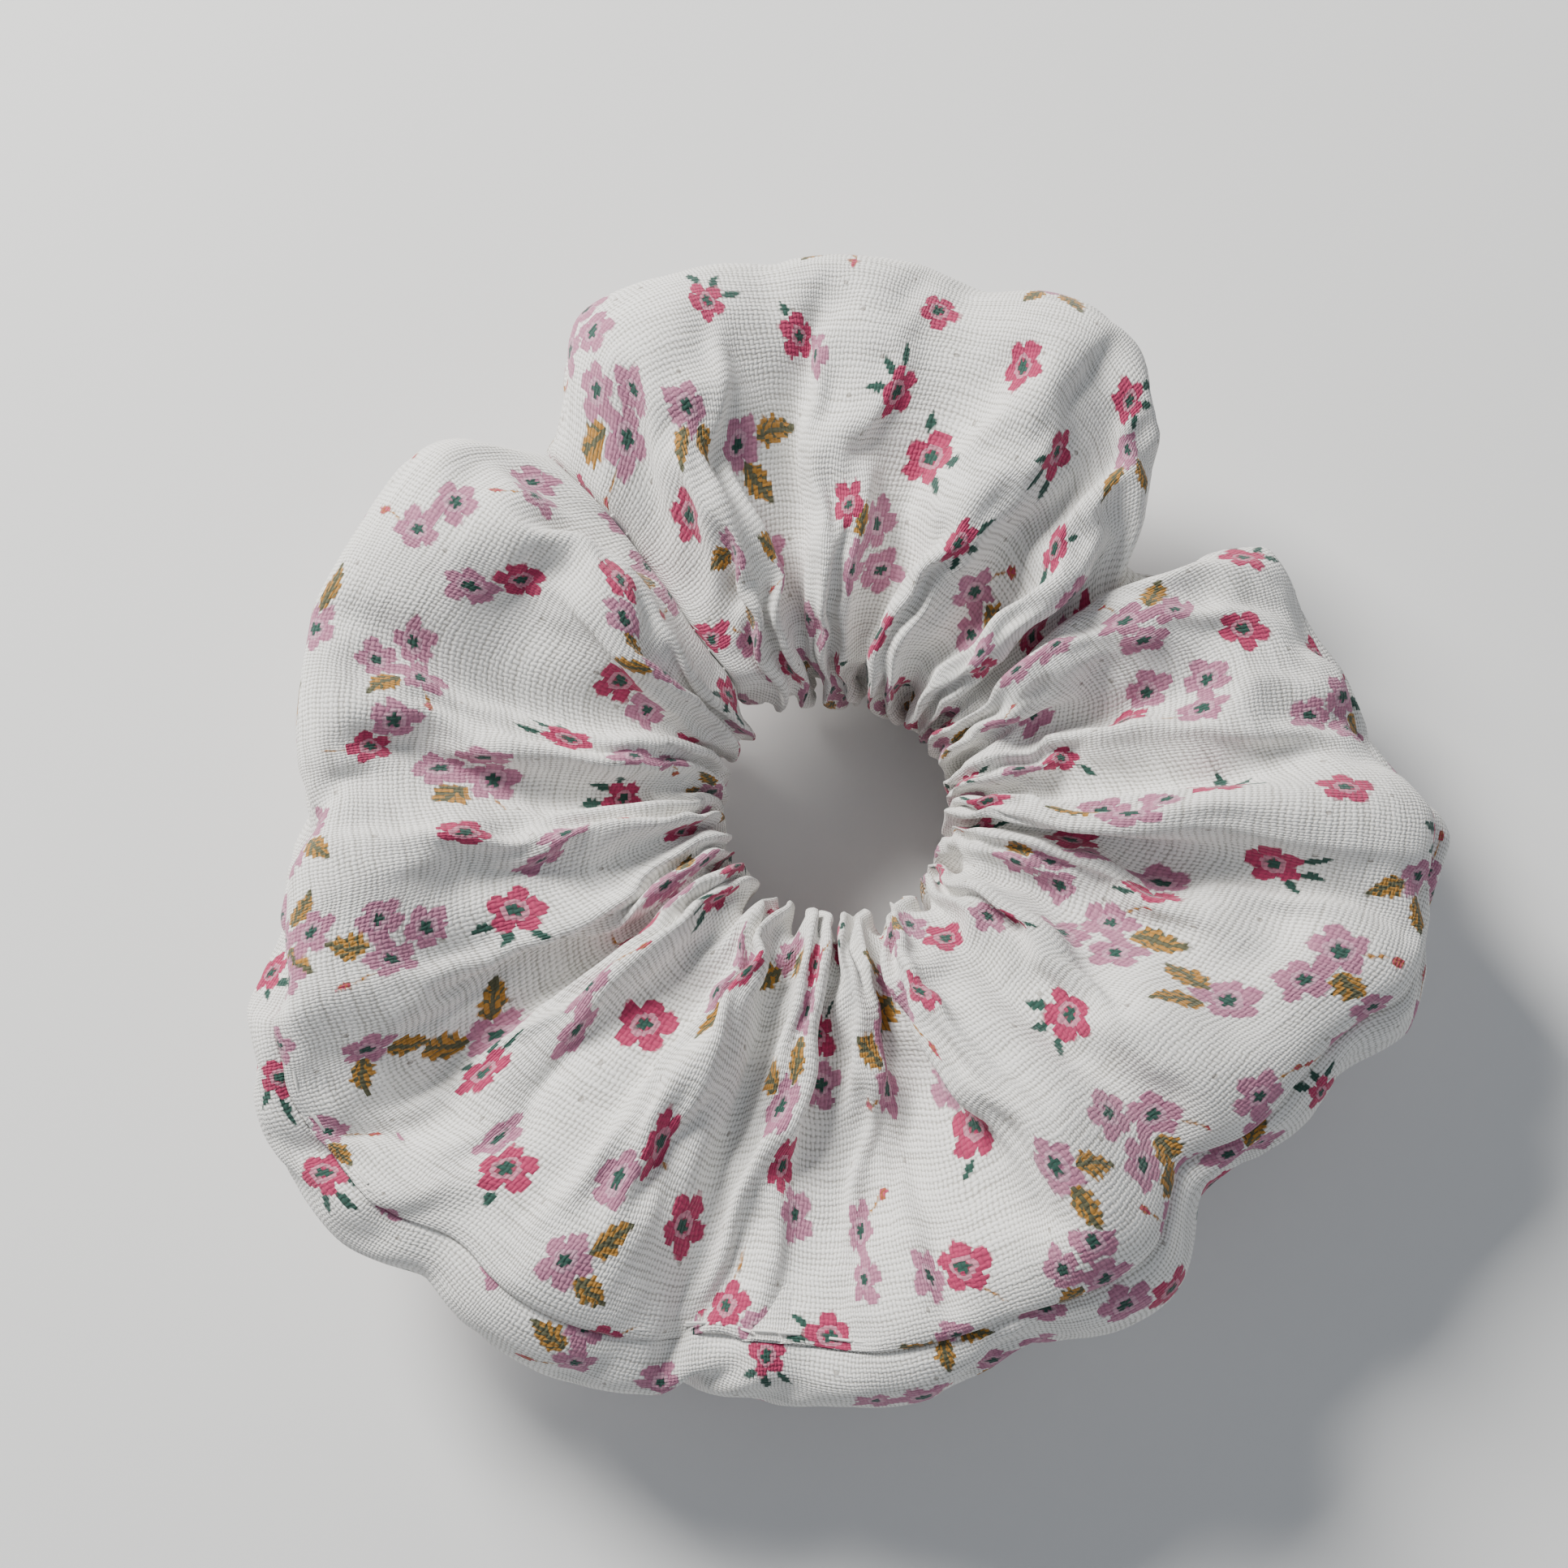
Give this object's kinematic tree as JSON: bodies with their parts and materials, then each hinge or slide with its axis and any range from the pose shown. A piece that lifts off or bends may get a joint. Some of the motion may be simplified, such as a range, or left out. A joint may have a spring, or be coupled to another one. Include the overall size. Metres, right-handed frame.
{
  "type": "gathered cloth hair tie",
  "caption": "Scrunchie: a soft ring of gathered floral cotton over a sewn loop of flat elastic, which stretches open to grip a ponytail.",
  "frame": {"origin": "centre of the ring's underside, on the surface that it lies on", "axes": "+Z along the ring's axis, the way the hair goes through; +X the way the two halves are pulled apart"},
  "size_m": [0.118, 0.118, 0.03],
  "materials": {
    "printed_cotton": "plain-woven cotton, unbleached white, small floral print",
    "elastic": "white knitted polyester over rubber strands",
    "sewing_thread": "white spun polyester"
  },
  "bodies": {
    "left_half": {"cover_left_half": "printed_cotton", "elastic_band": "elastic", "elastic_join_thread": "sewing_thread", "long_seam_thread": "sewing_thread", "closing_seam_thread": "sewing_thread"},
    "right_half": {"cover_right_half": "printed_cotton"}
  },
  "joints": [
    {"name": "stretch", "type": "slide", "parent": "left_half", "child": "right_half", "axis": [1, 0, 0], "range_m": [0, 0.05], "stiffness_N_per_m": 100, "deforming": ["elastic_band", "long_seam_thread"]}
  ]
}
